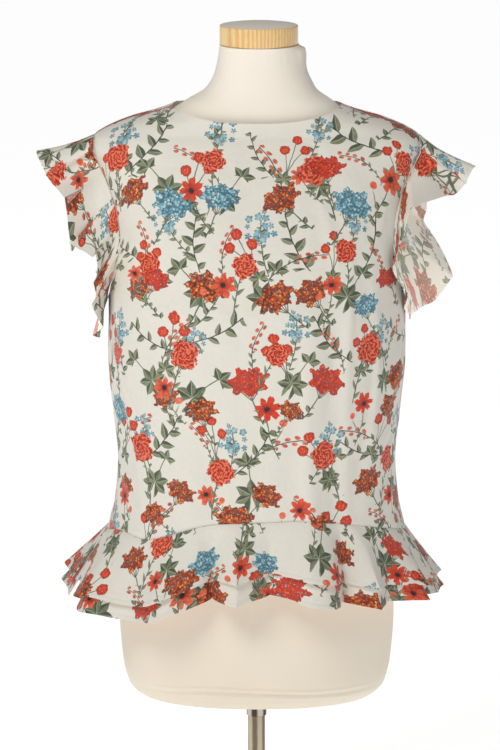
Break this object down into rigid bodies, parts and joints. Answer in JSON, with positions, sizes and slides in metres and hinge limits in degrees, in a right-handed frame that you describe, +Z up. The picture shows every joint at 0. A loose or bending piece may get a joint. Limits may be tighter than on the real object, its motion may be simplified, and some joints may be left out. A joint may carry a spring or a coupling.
{
  "type": "flutter-sleeve peplum blouse on a limbless dress form",
  "caption": "Flutter-sleeve blouse with a two-tier gathered peplum, worn on a limbless dress form that stands on a round base.",
  "frame": {"origin": "centre of the base plate's underside, on the pole's axis", "axes": "+Z up along the pole, -Y out of the blouse's front, +X to the right as seen from the front"},
  "size_m": [0.5237, 0.36, 1.0163],
  "materials": {
    "printed_cloth": "light crinkled chiffon, off-white with a small flower print",
    "button": "polished pale plastic",
    "thread": "twisted thread",
    "form_jersey": "cream stretch jersey",
    "cap_wood": "varnished light wood",
    "sleeve_chrome": "polished",
    "pole_metal": "satin",
    "base_metal": "pale satin paint"
  },
  "bodies": {
    "root": {"front_bodice": "printed_cloth", "back_bodice": "printed_cloth", "sleeve_left": "printed_cloth", "sleeve_right": "printed_cloth", "peplum_upper_front": "printed_cloth", "peplum_upper_back": "printed_cloth", "peplum_lower_front": "printed_cloth", "peplum_lower_back": "printed_cloth", "button": "button", "button_loop": "thread", "form_torso": "form_jersey", "neck_cap": "cap_wood", "pole_sleeve": "sleeve_chrome", "pole": "pole_metal", "base_plate": "base_metal"}
  },
  "joints": []
}
